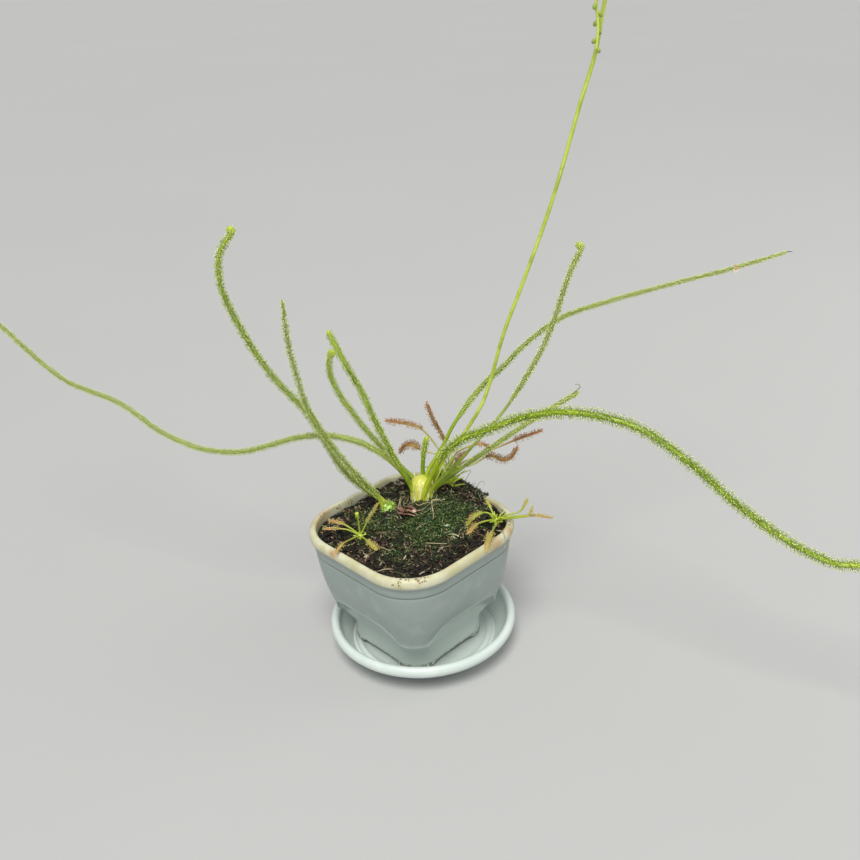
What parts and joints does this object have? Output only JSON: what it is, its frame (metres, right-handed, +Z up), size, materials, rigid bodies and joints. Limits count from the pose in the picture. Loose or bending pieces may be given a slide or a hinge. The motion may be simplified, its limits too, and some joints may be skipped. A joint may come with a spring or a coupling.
{
  "type": "potted sundew plant",
  "caption": "Thread-leaved sundew with sticky curling leaves and a tall flower stalk, growing with small spoon-leaved sundews in a square plastic pot on a round saucer.",
  "frame": {"origin": "centre of the saucer's underside", "axes": "+Z up, -Z out of the saucer's underside; X and Y parallel to the pot's sides, and the picture was taken from +X -Y"},
  "size_m": [0.4553, 0.3273, 0.3319],
  "materials": {
    "pot_plastic": "satin, cream and limescale-stained at the rim",
    "saucer_plastic": "satin",
    "peat": "damp crumbs with green moss",
    "crown_tissue": "smooth pale yellow, faintly ribbed",
    "young_tissue": "smooth bright green",
    "leaf_tissue": "satin yellow-green with pale sticky tentacles",
    "stalk_tissue": "smooth yellow-green",
    "red_leaf_tissue": "reddish blades with sticky tentacles",
    "pale_leaf_tissue": "yellow-green blades with sticky tentacles"
  },
  "bodies": {
    "root": {"saucer": "saucer_plastic", "pot": "pot_plastic", "soil": "peat", "crown": "crown_tissue", "side_crown": "young_tissue", "leaf_a": "leaf_tissue", "leaf_b": "leaf_tissue", "leaf_c": "leaf_tissue", "leaf_d": "leaf_tissue", "leaf_e": "leaf_tissue", "leaf_f": "leaf_tissue", "leaf_g": "leaf_tissue", "leaf_h": "leaf_tissue", "leaf_i": "leaf_tissue", "leaf_j": "leaf_tissue", "flower_stalk": "stalk_tissue", "back_sundew": "red_leaf_tissue", "left_sundew": "pale_leaf_tissue", "right_sundew": "pale_leaf_tissue"}
  },
  "joints": []
}
